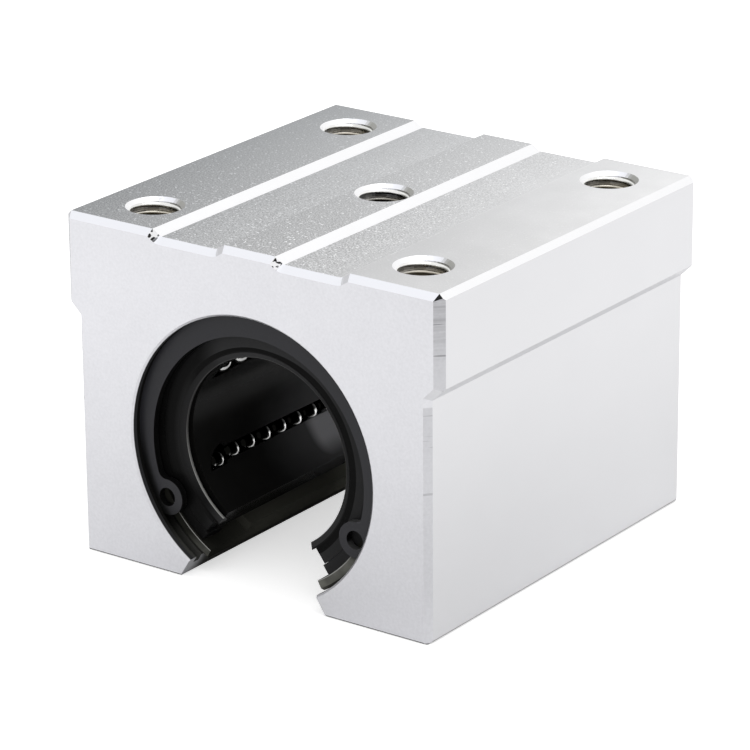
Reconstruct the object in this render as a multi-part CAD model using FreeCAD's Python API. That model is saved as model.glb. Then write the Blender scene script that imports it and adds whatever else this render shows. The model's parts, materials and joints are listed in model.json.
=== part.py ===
import FreeCAD, Part

# Linear bearing block: an open ball bearing for a supported shaft, held in an
# aluminium housing whose flange bolts under a table. All sizes in millimetres.
# The origin is on the shaft's axis at mid-length; +Y runs along the shaft and
# +Z points from the open side to the mounting face.

import os
from math import acos, asin, cos, pi, radians, sin, sqrt, tan

Vector = FreeCAD.Vector

# ---- housing ----
housing_width = 70.0
housing_length = 70.0
top_height = 33.0            # shaft axis to mounting face
foot_depth = 22.0            # shaft axis to the underside of the legs
flange_height = 14.5
side_step = 2.15             # how far the flange stands out past the legs, each side
side_slope_height = 2.1
end_chamfer = 1.0            # on the top and side edges of both end faces
corner_chamfer = 1.3         # along the flange's four upright corners
edge_chamfer = 0.9           # along the flange's long top edges
foot_chamfer = 0.5           # along the legs' outer bottom edges
foot_end_chamfer = 0.3       # along the legs' bottom edges at both ends
opening_half_angle = 32.2    # of the gap between the legs, about the shaft axis
bore_mouth_chamfer = 0.35

# ---- top face: two shallow channels beside a middle rib ----
rib_width = 9.4
channel_width = 13.6         # across the top, slopes included
channel_depth = 0.95
channel_slope_run = 1.5
channel_root_radius = 1.5    # where each slope meets the channel's floor

# ---- threaded holes (drawn at the thread's outside diameter) ----
thread_diameter = 8.0
corner_spacing_x = 50.0
corner_spacing_y = 50.0
corner_hole_depth = 18.0
drill_tip_angle = 118.0
countersink_width = 0.6      # outside the thread, all round

# ---- bearing ----
shaft_diameter = 30.0
ball_diameter = 3.969
bearing_diameter = 45.0
sleeve_setback = 3.0         # housing's end face to the sleeve's end
sleeve_wall = 1.8            # where the sleeve is widest inside
sleeve_edge_chamfer = 0.5
sleeve_half_angle = 29.5     # half the sleeve's open slot
retainer_setback = 2.8       # sleeve's end to the retainer's end
retainer_end_wall = 1.85     # between a ball turn and the retainer's end
retainer_half_angle = 35.5
circuit_count = 5
circuit_pitch_angle = 60.0
island_width = 1.0           # retainer wall between a circuit's two rows

# ---- end closures ----
end_recess = 0.4             # sleeve end face to the end ring and seal
seal_body_radius_gap = 1.2   # shaft surface to the seal's thick part
seal_lip_land = 0.3
seal_lip_depth = 0.6         # seal's outer face to its lip
seal_half_angle = 36.7       # half the seal's open slot
lip_half_angle = 33.5        # half the lip's, whose tips reach past the seal's body

# ---- retaining rings ----
ring_thickness = 1.2
ring_groove_diameter = 47.5
ring_width_top = 4.8         # radial width opposite the gap
ring_inner_offset = 0.95     # the ring's inner circle sits this far towards the gap
ear_radius = 2.9
ear_root_radius = 1.4        # where the ring's inner edge runs into an ear
ear_hole_diameter = 3.0
ear_hole_inset = 2.2         # bore wall to the centre of an ear's hole
ear_half_angle = 61.2        # from the middle of the gap to each ear's hole
front_ring_turn = 2.0        # how far the front ring has crept round its groove

# ---- locating screw ----
screw_length = 6.4
screw_socket_width = 4.0
screw_socket_depth = 3.2
screw_tip_diameter = 5.0
screw_tip_length = 1.2

# ---- fits and clearances ----
bearing_fit = 0.01           # sleeve to housing bore, radial
ring_side_play = 0.05        # each side of a retaining ring in its groove
ring_seat_gap = 0.05         # ring's rim to the groove's floor
ball_play = 0.02             # ball to each raceway
ball_gap = 0.06              # between neighbouring balls
turn_relief = 0.1            # returning balls to the sleeve's wide ends
pocket_clearance = 0.075     # ball to the walls of its pocket
retainer_shaft_gap = 0.3
retainer_sleeve_gap = 0.1
seal_shaft_gap = 0.05
closure_gap = 0.05           # between retainer, seal, end ring and sleeve
screw_thread_gap = 0.05
screw_tip_gap = 0.2

# ---- worked out ----
shaft_radius = shaft_diameter / 2
ball_radius = ball_diameter / 2
bearing_radius = bearing_diameter / 2
half_length = housing_length / 2
half_bearing = half_length - sleeve_setback
bore_radius = bearing_radius + bearing_fit
relief_radius = bearing_radius - sleeve_wall
loaded_row_radius = shaft_radius + ball_play + ball_radius
return_row_radius = relief_radius - turn_relief - ball_radius
track_radius = loaded_row_radius + ball_radius + ball_play
pocket_radius = ball_radius + pocket_clearance
retainer_inner_radius = shaft_radius + retainer_shaft_gap
retainer_outer_radius = track_radius - retainer_sleeve_gap
half_retainer = half_bearing - retainer_setback
row_spacing = 2 * pocket_radius + island_width
turn_radius = row_spacing / 2
row_end = half_retainer - retainer_end_wall - turn_radius - pocket_radius
closure_end = half_bearing - end_recess
end_ring_inner_radius = retainer_outer_radius + closure_gap
turn_end = half_retainer - retainer_end_wall
ring_outer_radius = ring_groove_diameter / 2 - ring_seat_gap
ear_hole_radius = bore_radius - ear_hole_inset
ball_pitch = ball_diameter + ball_gap


def polygon_face(points):
    """A flat face with the given corners."""
    return Part.Face(Part.makePolygon(points + [points[0]]))


def prism(outline, start_y, end_y):
    """Extrude an outline of (x, z) points along Y."""
    corners = [Vector(x, start_y, z) for x, z in outline]
    return polygon_face(corners).extrude(Vector(0, end_y - start_y, 0))


def turned(profile):
    """Revolve an outline of (radius, y) points about the shaft axis."""
    corners = [Vector(radius, y, 0) for radius, y in profile]
    return polygon_face(corners).revolve(Vector(0, 0, 0), Vector(0, 1, 0), 360)


def tube(inner_radius, outer_radius, start_y, end_y):
    """A plain ring about the shaft axis."""
    return turned([(inner_radius, start_y), (outer_radius, start_y),
                   (outer_radius, end_y), (inner_radius, end_y)])


def downward_wedge(half_angle):
    """The sector below the shaft axis that an open bearing leaves free."""
    reach = 2 * foot_depth + bearing_diameter
    side = reach * tan(radians(half_angle))
    return prism([(0, 0), (-side, -reach), (side, -reach)], -housing_length, housing_length)


def polar(radius, angle, y):
    """A point at a radius and an angle in degrees about the shaft axis."""
    return Vector(radius * cos(radians(angle)), y, radius * sin(radians(angle)))


def mirrored_end(solid):
    """The same piece at the far end of the block."""
    return solid.mirror(Vector(0, 0, 0), Vector(0, 1, 0))


# ---------------------------------------------------------------- housing
def housing_outline():
    """The extruded section as seen from the front, without the bore."""
    flange_edge = housing_width / 2
    leg_edge = flange_edge - side_step
    flange_bottom = top_height - flange_height
    slope_bottom = flange_bottom - side_slope_height
    channel_inner = rib_width / 2
    channel_outer = channel_inner + channel_width
    channel_floor = top_height - channel_depth
    half = [(channel_inner, top_height),
            (channel_inner + channel_slope_run, channel_floor),
            (channel_outer - channel_slope_run, channel_floor),
            (channel_outer, top_height),
            (flange_edge - edge_chamfer, top_height),
            (flange_edge, top_height - edge_chamfer),
            (flange_edge, flange_bottom),
            (leg_edge, slope_bottom),
            (leg_edge, -foot_depth + foot_chamfer),
            (leg_edge - foot_chamfer, -foot_depth)]
    other_half = [(-x, z) for x, z in reversed(half)]
    return half + other_half


def outline_end_edges(block):
    """Edges around both end faces, apart from those along the feet."""
    chosen = []
    for edge in block.Edges:
        box = edge.BoundBox
        on_end_face = box.YLength < 1e-6 and abs(abs(box.YMin) - half_length) < 1e-6
        if on_end_face and box.ZMax > -foot_depth + foot_chamfer + 1e-6:
            chosen.append(edge)
    return chosen


def threaded_hole(x, y, depth, drilled):
    """Cutter for one hole from the mounting face, with its countersink."""
    radius = thread_diameter / 2
    mouth = Vector(x, y, top_height)
    cutter = Part.makeCylinder(radius, depth, mouth, Vector(0, 0, -1))
    countersink = Part.makeCone(radius + countersink_width, radius, countersink_width,
                                mouth, Vector(0, 0, -1))
    cutter = cutter.fuse(countersink)
    if drilled:
        tip_height = radius / tan(radians(drill_tip_angle / 2))
        tip = Part.makeCone(radius, 0, tip_height, mouth - Vector(0, 0, depth), Vector(0, 0, -1))
        cutter = cutter.fuse(tip)
    return cutter


def foot_end_cutter(end):
    """Wedge that breaks the legs' bottom edge on one end face."""
    half_width = housing_width / 2
    y = end * half_length
    corners = [Vector(-half_width, y - end * foot_end_chamfer, -foot_depth),
               Vector(-half_width, y, -foot_depth),
               Vector(-half_width, y, -foot_depth + foot_end_chamfer)]
    return polygon_face(corners).extrude(Vector(housing_width, 0, 0))


def groove_span():
    """Start and end of the rear retaining ring's groove."""
    start = half_bearing
    return start, start + ring_thickness + 2 * ring_side_play


def corner_cutter(side, end):
    """Upright wedge at one corner of the block, which only reaches the flange."""
    half_width = housing_width / 2
    corners = [Vector(side * half_width, end * (half_length - corner_chamfer), -foot_depth),
               Vector(side * half_width, end * half_length, -foot_depth),
               Vector(side * (half_width - corner_chamfer), end * half_length, -foot_depth)]
    return polygon_face(corners).extrude(Vector(0, 0, foot_depth + top_height))


def channel_root_edges(block):
    """The four long edges where the slopes meet the channels' floors."""
    floor = top_height - channel_depth
    return [edge for edge in block.Edges
            if abs(edge.BoundBox.ZMin - floor) < 1e-6 and abs(edge.BoundBox.ZMax - floor) < 1e-6
            and edge.BoundBox.YLength > 1e-6]


def make_housing():
    block = prism(housing_outline(), -half_length, half_length)
    block = block.makeFillet(channel_root_radius, channel_root_edges(block))
    block = block.makeChamfer(end_chamfer, outline_end_edges(block))
    groove_start, groove_end = groove_span()
    groove_radius = ring_groove_diameter / 2
    mouth_radius = bore_radius + bore_mouth_chamfer
    bore = turned([(0, -half_length), (mouth_radius, -half_length),
                   (bore_radius, -half_length + bore_mouth_chamfer),
                   (bore_radius, -groove_end), (groove_radius, -groove_end),
                   (groove_radius, -groove_start), (bore_radius, -groove_start),
                   (bore_radius, groove_start), (groove_radius, groove_start),
                   (groove_radius, groove_end), (bore_radius, groove_end),
                   (bore_radius, half_length - bore_mouth_chamfer),
                   (mouth_radius, half_length), (0, half_length)])
    block = block.cut(bore)
    block = block.cut(downward_wedge(opening_half_angle))
    for end in (-1, 1):
        block = block.cut(foot_end_cutter(end))
        for side in (-1, 1):
            block = block.cut(corner_cutter(side, end))
    for x in (-corner_spacing_x / 2, corner_spacing_x / 2):
        for y in (-corner_spacing_y / 2, corner_spacing_y / 2):
            block = block.cut(threaded_hole(x, y, corner_hole_depth, True))
    return block.cut(threaded_hole(0, 0, top_height, False))


# ---------------------------------------------------------------- ball circuits
class Circuit:
    """One closed loop of balls: a loaded row, a return row and two turns.

    The loop is flat: its two rows run along Y through the points `loaded` and
    `returned`, and the turns are half circles about the loop's centre line.
    """

    def __init__(self, centre_angle):
        cosine = ((loaded_row_radius ** 2 + return_row_radius ** 2 - row_spacing ** 2)
                  / (2 * loaded_row_radius * return_row_radius))
        half_spread = acos(cosine) * 90 / pi
        self.loaded = polar(loaded_row_radius, centre_angle - half_spread, 0)
        self.returned = polar(return_row_radius, centre_angle + half_spread, 0)
        self.centre = (self.loaded + self.returned) * 0.5
        self.across = (self.returned - self.loaded).normalize()
        self.outward = Vector(0, 1, 0).cross(self.across)
        if self.outward.dot(self.centre) < 0:
            self.outward = self.outward * -1
        self.loaded_outward = Vector(self.loaded).normalize()
        self.returned_outward = Vector(self.returned).normalize()

    def row_positions(self):
        """Places along Y of the balls in a straight row."""
        last = row_end + turn_radius * cos(self.turn_angle()) - self.step_to_turn()
        steps = int(2 * last / ball_pitch)
        return [last * (2 * index / steps - 1) for index in range(steps + 1)]

    def turn_angle(self):
        """Angle from the loop's far end to each of the two balls in a turn."""
        return asin(ball_pitch / 2 / turn_radius)

    def step_to_turn(self):
        """Distance along Y from a row's last ball to the first ball in the turn."""
        sideways = turn_radius - ball_pitch / 2
        return sqrt(ball_pitch ** 2 - sideways ** 2)

    def turn_centres(self):
        """Centres of the balls in both turns."""
        reach = row_end + turn_radius * cos(self.turn_angle())
        sideways = self.across * (ball_pitch / 2)
        return [self.centre + sideways * side + Vector(0, reach * end, 0)
                for end in (-1, 1) for side in (-1, 1)]


def circuits():
    """The circuits, spaced evenly about the bore with one left out at the opening."""
    first_angle = 90 - circuit_pitch_angle * (circuit_count - 1) / 2
    return [Circuit(first_angle + circuit_pitch_angle * index) for index in range(circuit_count)]


def pentagon_and_triangle_axes():
    """The 12 corner directions and 20 face directions of a regular icosahedron."""
    golden = (1 + sqrt(5)) / 2
    pentagon_axes = []
    for a in (-1, 1):
        for b in (-golden, golden):
            pentagon_axes += [Vector(0, a, b), Vector(a, b, 0), Vector(b, 0, a)]
    triangle_axes = [Vector(a, b, c) for a in (-1, 1) for b in (-1, 1) for c in (-1, 1)]
    for a in (-1 / golden, 1 / golden):
        for b in (-golden, golden):
            triangle_axes += [Vector(a, 0, b), Vector(0, b, a), Vector(b, a, 0)]
    return pentagon_axes, triangle_axes


def flat_faced_ball(corner_directions, face_directions):
    """A ball with flat faces, its corners on the true sphere."""
    corners = [Vector(direction).normalize() * ball_radius for direction in corner_directions]
    faces = []
    for direction in face_directions:
        axis = Vector(direction).normalize()
        height = max(corner.dot(axis) for corner in corners)
        ring = [corner for corner in corners if corner.dot(axis) > height - 1e-6]
        faces.append(polygon_face(sorted_about(axis, ring)))
    return Part.Solid(Part.Shell(faces))


def ball_with_32_faces():
    """For the loaded rows, which show through the retainer's slots."""
    pentagon_axes, triangle_axes = pentagon_and_triangle_axes()
    corner_directions = []
    for index, first in enumerate(pentagon_axes):
        for second in pentagon_axes[index + 1:]:
            if first.distanceToPoint(second) < 2.1:
                corner_directions.append(first + second)
    return flat_faced_ball(corner_directions, pentagon_axes + triangle_axes)


def ball_with_20_faces():
    """For the returning rows, hidden behind the retainer."""
    pentagon_axes, triangle_axes = pentagon_and_triangle_axes()
    return flat_faced_ball(pentagon_axes, triangle_axes)


def sorted_about(axis, points):
    """Points of one flat face in order around its axis."""
    start = (points[0] - axis * points[0].dot(axis)).normalize()
    sideways = axis.cross(start)

    def turn(point):
        angle = acos(max(-1, min(1, (point - axis * point.dot(axis)).normalize().dot(start))))
        return angle if point.dot(sideways) > -1e-9 else 2 * pi - angle

    return sorted(points, key=turn)


def ball_group(ball, centres):
    """Copies of one ball as a group of separate solids."""
    return Part.makeCompound([ball.translated(centre) for centre in centres])


# ---------------------------------------------------------------- bearing
def make_outer_sleeve():
    radius = bearing_radius
    edge = sleeve_edge_chamfer
    sleeve = turned([(relief_radius, -half_bearing), (radius - edge, -half_bearing),
                     (radius, -half_bearing + edge), (radius, half_bearing - edge),
                     (radius - edge, half_bearing), (relief_radius, half_bearing),
                     (relief_radius, row_end), (track_radius, row_end),
                     (track_radius, -row_end), (relief_radius, -row_end)])
    for circuit in circuits():
        start = circuit.returned - Vector(0, row_end, 0)
        groove = Part.makeCylinder(ball_radius + ball_play, 2 * row_end, start, Vector(0, 1, 0))
        sleeve = sleeve.cut(groove)
    sleeve = sleeve.cut(downward_wedge(sleeve_half_angle))
    seat_depth = screw_tip_length + screw_tip_gap
    seat = Part.makeCylinder(screw_tip_diameter / 2 + screw_tip_gap, seat_depth,
                             Vector(0, 0, bearing_radius - seat_depth), Vector(0, 0, 1))
    return sleeve.cut(seat)


def row_cutter(row_point, outward, length):
    """A round-bottomed channel along Y that is open on its outer side."""
    start = row_point - Vector(0, length / 2, 0)
    along = Vector(0, length, 0)
    channel = Part.makeCylinder(pocket_radius, length, start, Vector(0, 1, 0))
    sideways = Vector(0, 1, 0).cross(outward) * pocket_radius
    corners = [start - sideways, start + sideways,
               start + sideways + outward * bearing_radius,
               start - sideways + outward * bearing_radius]
    return channel.fuse(polygon_face(corners).extrude(along))


def turn_cutter(circuit, end):
    """The half-round pocket in which the balls turn at one end of a circuit."""
    floor = circuit.centre + Vector(0, end * row_end, 0) - circuit.outward * pocket_radius
    disc = Part.makeCylinder(turn_radius + pocket_radius, bearing_radius, floor, circuit.outward)
    reach = bearing_diameter
    beyond_rows = prism([(-reach, -reach), (reach, -reach), (reach, reach), (-reach, reach)],
                        end * row_end, end * housing_length)
    return disc.common(beyond_rows)


def make_ball_retainer():
    retainer = tube(retainer_inner_radius, retainer_outer_radius, -half_retainer, half_retainer)
    for circuit in circuits():
        retainer = retainer.cut(row_cutter(circuit.loaded, circuit.loaded_outward, 2 * row_end))
        retainer = retainer.cut(row_cutter(circuit.returned, circuit.returned_outward, 2 * row_end))
        for end in (-1, 1):
            retainer = retainer.cut(turn_cutter(circuit, end))
    return retainer.cut(downward_wedge(retainer_half_angle))


# ---------------------------------------------------------------- end closures
def make_end_ring():
    """The rear end ring: a collar that centres the retainer's end and holds the seal."""
    ring = tube(end_ring_inner_radius, relief_radius - closure_gap, turn_end, closure_end)
    return ring.cut(downward_wedge(retainer_half_angle))


def make_wiper_seal():
    """The rear seal: a flat ring with a thin lip that rides on the shaft."""
    start = half_retainer + closure_gap
    body_radius = shaft_radius + seal_body_radius_gap
    lip_radius = shaft_radius + seal_shaft_gap
    lip_end = closure_end - seal_lip_depth
    lip_back = lip_end - seal_lip_land
    body = tube(body_radius, end_ring_inner_radius - closure_gap, start, closure_end)
    lip = turned([(body_radius, start), (lip_radius, lip_back), (lip_radius, lip_end),
                  (body_radius, closure_end)])
    body = body.cut(downward_wedge(seal_half_angle))
    return body.fuse(lip.cut(downward_wedge(lip_half_angle)))


def ear_root_edges(ring, centres):
    """The edges across the ring where its inner edge meets the ears' rims."""
    chosen = []
    for edge in ring.Edges:
        place = edge.CenterOfMass
        across_ring = edge.BoundBox.XLength < 1e-6 and edge.BoundBox.ZLength < 1e-6
        inside = Vector(place.x, 0, place.z).Length < ear_hole_radius
        on_rim = any(abs(Vector(place.x - centre.x, 0, place.z - centre.z).Length - ear_radius) < 1e-6
                     for centre in centres)
        if across_ring and inside and on_rim:
            chosen.append(edge)
    return chosen


def make_retaining_ring():
    """The rear retaining ring, with a rounded ear on each side of its gap."""
    start = groove_span()[0] + ring_side_play
    along = Vector(0, 1, 0)
    inner_radius = ring_outer_radius - ring_width_top + ring_inner_offset
    ring = Part.makeCylinder(ring_outer_radius, ring_thickness, Vector(0, start, 0), along)
    ring = ring.cut(Part.makeCylinder(inner_radius, ring_thickness,
                                      Vector(0, start, -ring_inner_offset), along))
    ring = ring.cut(downward_wedge(ear_half_angle))
    centres = [polar(ear_hole_radius, -90 + side * ear_half_angle, start) for side in (-1, 1)]
    for centre in centres:
        ring = ring.fuse(Part.makeCylinder(ear_radius, ring_thickness, centre, along))
    ring = ring.removeSplitter()
    ring = ring.makeFillet(ear_root_radius, ear_root_edges(ring, centres))
    for centre in centres:
        ring = ring.cut(Part.makeCylinder(ear_hole_diameter / 2, ring_thickness, centre, along))
    return ring


# ---------------------------------------------------------------- locating screw
def make_locating_screw():
    """A socket set screw whose plain tip sits in the sleeve's blind hole."""
    radius = thread_diameter / 2 - screw_thread_gap
    shoulder = bearing_radius + screw_tip_gap
    up = Vector(0, 0, 1)
    screw = Part.makeCylinder(radius, screw_length, Vector(0, 0, shoulder), up)
    tip_height = screw_tip_length + screw_tip_gap
    tip = Part.makeCylinder(screw_tip_diameter / 2, tip_height, Vector(0, 0, shoulder - tip_height), up)
    corner_radius = screw_socket_width / sqrt(3)
    socket_floor = shoulder + screw_length - screw_socket_depth
    corners = [Vector(corner_radius * cos(radians(60 * index)), corner_radius * sin(radians(60 * index)),
                      socket_floor) for index in range(6)]
    return screw.fuse(tip).cut(polygon_face(corners).extrude(up * screw_socket_depth))


def make_parts():
    """Every sub-part by name."""
    rear_ring = make_retaining_ring()
    front_ring = mirrored_end(rear_ring)
    front_ring.rotate(Vector(0, 0, 0), Vector(0, -1, 0), front_ring_turn)
    end_ring = make_end_ring()
    seal = make_wiper_seal()
    parts = {
        "housing": make_housing(),
        "outer_sleeve": make_outer_sleeve(),
        "ball_retainer": make_ball_retainer(),
        "end_ring_front": mirrored_end(end_ring),
        "end_ring_rear": end_ring,
        "wiper_seal_front": mirrored_end(seal),
        "wiper_seal_rear": seal,
        "retaining_ring_front": front_ring,
        "retaining_ring_rear": rear_ring,
        "locating_screw": make_locating_screw(),
    }
    loaded_ball = ball_with_32_faces()
    returned_ball = ball_with_20_faces()
    for number, circuit in enumerate(circuits(), start=1):
        rows = circuit.row_positions()
        loaded = [circuit.loaded + Vector(0, y, 0) for y in rows]
        returned = [circuit.returned + Vector(0, y, 0) for y in rows]
        parts["loaded_balls_%d" % number] = ball_group(loaded_ball, loaded)
        parts["return_balls_%d" % number] = ball_group(returned_ball, returned + circuit.turn_centres())
    return parts


os.makedirs("parts", exist_ok=True)
for name, shape in make_parts().items():
    shape.exportStep("parts/%s.step" % name)
    print(name, "volume %.1f" % shape.Volume, "solids", len(shape.Solids), "valid", shape.isValid())
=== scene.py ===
import json
from math import cos, radians, sin

import bmesh
import bpy
from bpy.props import (FloatProperty, FloatVectorProperty, IntProperty, PointerProperty)
from bpy.types import Operator, Panel, PropertyGroup
from mathutils import Matrix, Quaternion, Vector


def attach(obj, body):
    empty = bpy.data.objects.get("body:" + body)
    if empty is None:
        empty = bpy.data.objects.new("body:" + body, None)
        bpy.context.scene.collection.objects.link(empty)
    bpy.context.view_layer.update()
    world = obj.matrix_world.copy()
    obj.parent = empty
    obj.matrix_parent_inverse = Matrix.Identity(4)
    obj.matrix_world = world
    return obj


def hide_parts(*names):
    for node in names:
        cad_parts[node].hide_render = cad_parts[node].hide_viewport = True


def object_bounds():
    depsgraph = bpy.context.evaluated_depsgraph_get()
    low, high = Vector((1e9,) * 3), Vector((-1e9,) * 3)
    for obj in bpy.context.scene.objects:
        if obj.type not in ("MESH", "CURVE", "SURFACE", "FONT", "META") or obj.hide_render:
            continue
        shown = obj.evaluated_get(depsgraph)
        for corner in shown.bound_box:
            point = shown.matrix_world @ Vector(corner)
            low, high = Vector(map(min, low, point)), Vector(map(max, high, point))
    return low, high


bl_info = {
    "name": "Linear Bearing Block Looks",
    "version": (1, 0, 0),
    "blender": (4, 5, 0),
    "location": "View3D > Sidebar > Bearing",
    "description": "Finishes and fine detail for an open linear bearing block",
    "category": "Object",
}

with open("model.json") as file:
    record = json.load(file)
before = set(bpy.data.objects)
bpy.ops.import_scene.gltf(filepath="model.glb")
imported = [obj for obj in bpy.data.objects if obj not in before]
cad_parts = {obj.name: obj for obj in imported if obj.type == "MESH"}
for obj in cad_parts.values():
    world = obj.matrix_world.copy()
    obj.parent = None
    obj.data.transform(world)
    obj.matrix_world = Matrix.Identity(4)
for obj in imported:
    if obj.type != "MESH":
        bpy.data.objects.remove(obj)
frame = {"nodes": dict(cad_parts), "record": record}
CAD_LOW, CAD_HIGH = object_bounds()
BODY = "root"
MOUNTS = {mount["name"]: mount for mount in frame["record"]["mounts"]}
BALL_NODES = sorted(name for name in frame["nodes"] if "_balls_" in name)
MM = 0.001
HOLE_RADIUS = MOUNTS["mounting_threads"]["dims"]["hole_r_mm"] * MM
RIGHT_REAR = (0.81, 0.586, 0.0)  # the side of each hole that the light leaves grey
SHADED_CUT = (0.36, 0.36, 0.34, 1.0)  # painted shade on the cut metal on that side
FRONT_CUT = (0.875, 0.885, 0.93, 1.0)  # chamfers that face the front or the back
BALL_LIGHT = (0.71, 0.21, -0.66)  # towards the slot and the far end
SHEEN_CENTRE = (-12.6 * MM, -1 * MM, -8.5 * MM)  # on the retainer's left side
EAR_CENTRE = (18.0 * MM, -8.8 * MM)  # the right ear of the retaining ring, across and up

# Edges of regions in mm: where each starts and is full and, in the longer ones, where it fades and ends.
# Across, with the left side negative
LEFT_CHANNEL = (-18.5, -17.5, -6, -5)
COARSE_BLASTING = (20, 10)
# To either side of the middle
RIB = (5.5, 4.8)
MIDDLE_HOLE = (7, 6)
SLOT_WALL = (15.5, 14.5)
# Above the shaft axis
FLANGE_CHATTER = (19, 33)
STEP_FOOT = (15.2, 15.5, 16.6, 17.0)
SHEEN_UP = (-12.8, -9.5, -7.5, -4.5)
# Below the top
CHANNEL_SLOPE = (1.3, 1.2)
CORNER_FACET = (3, 2)
# Above the soles
FOOT_EDGE_SHADOW = (3, 1)
FOOT_SHADOW_LINE = (0.22, 0.12)
SOLE = (1, 0.5)
# Back from mid-length
SHEEN_ALONG = (-4, -0.5, 6, 12)
# In from either end
BEHIND_MOUTH = (0.25, 0.36)
MOUTH_BAND = (0.40, 0.50, 1.0, 1.1)
SLOT_TIP = (5.5, 1.2)
SLEEVE_END = (4.5, 4)
# Out from the shaft axis
SEAL_LIP = (15.20, 15.10)
SEAL_GROOVE = (15.90, 16.0)
SEAL_GROOVE_EDGE = 16.75
SLEEVE_RIM = (20.88, 20.78)
RING_WALL_SHADOW = (20.9, 21.9)
BORE_WALL = (24.3, 24.1)
# Out from a hole's wall, and from the ear's centre
HOLE_WALL = (0.15, 0.05)
HOLE_MOUTH = (1.2, 1.0)
EAR_RIM = (2.45, 2.75, 3.0, 3.2)


# ------------------------------------------------------------------ settings
def colour(name, default, description):
    return FloatVectorProperty(name=name, description=description, subtype="COLOR",
                               size=3, min=0, max=1, default=default)


def length(name, millimetres, description):
    return FloatProperty(name=name, description=description, unit="LENGTH",
                         default=millimetres * MM, min=0, precision=5)


class StageSettings(PropertyGroup):
    azimuth: FloatProperty(name="Azimuth", subtype="ANGLE", default=radians(35.904),
                           description="How far the camera stands round to the right of the front")
    elevation: FloatProperty(name="Elevation", subtype="ANGLE", default=radians(20.315),
                             description="How far the camera looks down")
    roll: FloatProperty(name="Roll", subtype="ANGLE", default=radians(-0.442),
                        description="Tilt of the camera about its own line of sight")
    distance: length("Distance", 632.04, "From the camera to the point it looks at")
    aim: FloatVectorProperty(name="Aim", subtype="TRANSLATION", size=3,
                             default=(3.258 * MM, -7.243 * MM, 5.993 * MM),
                             description="The point that the camera looks at")
    lens: FloatProperty(name="Focal Length", unit="CAMERA", default=196.8,
                        description="Focal length on a 36 mm sensor")
    floor_colour: colour("Floor", (0.93, 0.93, 0.93), "Colour of the floor")
    mirrored_lift: FloatProperty(name="Floor Lift", default=0.38, min=0,
                                 description="Glow of the floor where it is seen, also in a mirror")
    camera_lift: FloatProperty(name="Floor Camera Lift", default=0.22, min=0,
                               description="Further glow of the floor where the camera sees it")
    ambient: FloatProperty(name="Ambient", default=0.72, min=0,
                           description="Strength of the even light from all round")
    softbox_place: FloatVectorProperty(name="Softbox Place", subtype="TRANSLATION", size=3,
                                       default=(0.25, -0.10, 0.70),
                                       description="Where the large lamp hangs; it points at the origin")
    softbox_size: length("Softbox Size", 500, "Width of the large lamp")
    softbox_power: FloatProperty(name="Softbox Power", unit="POWER", default=1.1, min=0,
                                 description="Power of the large lamp")


class HousingSettings(PropertyGroup):
    satin: colour("Satin Faces", (0.745, 0.745, 0.775), "The sawn and milled end faces")
    side: colour("Extruded Sides", (0.742, 0.742, 0.757), "The smooth sides")
    # Painted light: the blasted top is shaded on the left and lit on the right.
    blasted_shaded_left: colour("Blasted Top, Left", (0.30, 0.31, 0.32), "The top's left side")
    blasted_lit_right: colour("Blasted Top, Right", (0.765, 0.765, 0.77), "The top's right side")
    chamfer: colour("Cut Edges", (0.95, 0.95, 0.96), "Fresh chamfers and channel slopes")
    # Painted shade on faces that look down, such as the slope under the flange.
    step: colour("Flange Step", (0.615, 0.615, 0.63), "The slope under the flange")
    # Painted shadow on the feet's edges and on the line round the feet.
    foot_shadow: colour("Foot Edges", (0.025, 0.025, 0.025), "Edges on which the block stands")
    # Painted shade: a dark, non-metal tone on the walls of the bore and slot.
    shade_film: colour("Bore Film", (0.0098, 0.0098, 0.0091), "Oily film on the walls of the bore and slot")
    # Painted shade: the ends and sides darken towards the feet.
    foot_shade_amount: FloatProperty(name="Dulling", default=0.155, min=0, max=1, subtype="FACTOR",
                                description="How much duller the ends and sides are at the feet")
    grain_size: length("Grain", 0.25, "Size of the blasting's grain")


class ThreadSettings(PropertyGroup):
    pitch: length("Pitch", 1.25, "From one turn of the thread to the next")
    corner_length: length("Corner Thread", 14.6, "Threaded length in the corner holes")
    middle_length: length("Middle Thread", 3.35, "Threaded length above the locating screw")
    # Painted shade deep in the holes.
    inside: colour("Hole Walls", (0.55, 0.51, 0.43), "Oily metal deep in the holes")


class BallSettings(PropertyGroup):
    diameter: length("Ball Diameter", 3.969, "Size of each ball")
    subdivisions: IntProperty(name="Subdivisions", default=3, min=1, max=5,
                              description="Smoothness of each ball")
    steel: colour("Ball Steel", (0.86, 0.86, 0.85), "Polished ball steel")
    # Painted shade on the sides of the balls that are not turned to the slot and the far end.
    ball_shade: colour("Oil", (0.003, 0.003, 0.0027), "Dark oil on the sides turned to the bore's wall")


class BearingSettings(PropertyGroup):
    resin: colour("Retainer Resin", (0.0098, 0.0098, 0.0095), "Moulded ball retainer")
    rubber: colour("Seal Rubber", (0.005, 0.005, 0.005), "Seals and end rings")
    ring: colour("Retaining Ring", (0.021, 0.021, 0.025), "Phosphated spring steel")
    sleeve: colour("Sleeve Ends", (0.14, 0.14, 0.125), "Ground bearing steel")
    # Painted shade inside the sleeve.
    sleeve_shade_film: colour("Sleeve Inside", (0.019, 0.019, 0.016), "Oily film inside the sleeve")
    # Painted highlight on the edges of the sleeve and the lips.
    edge_highlight: colour("Bright Edges", (0.55, 0.55, 0.53), "Worn edges of the sleeve and lips")


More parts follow.
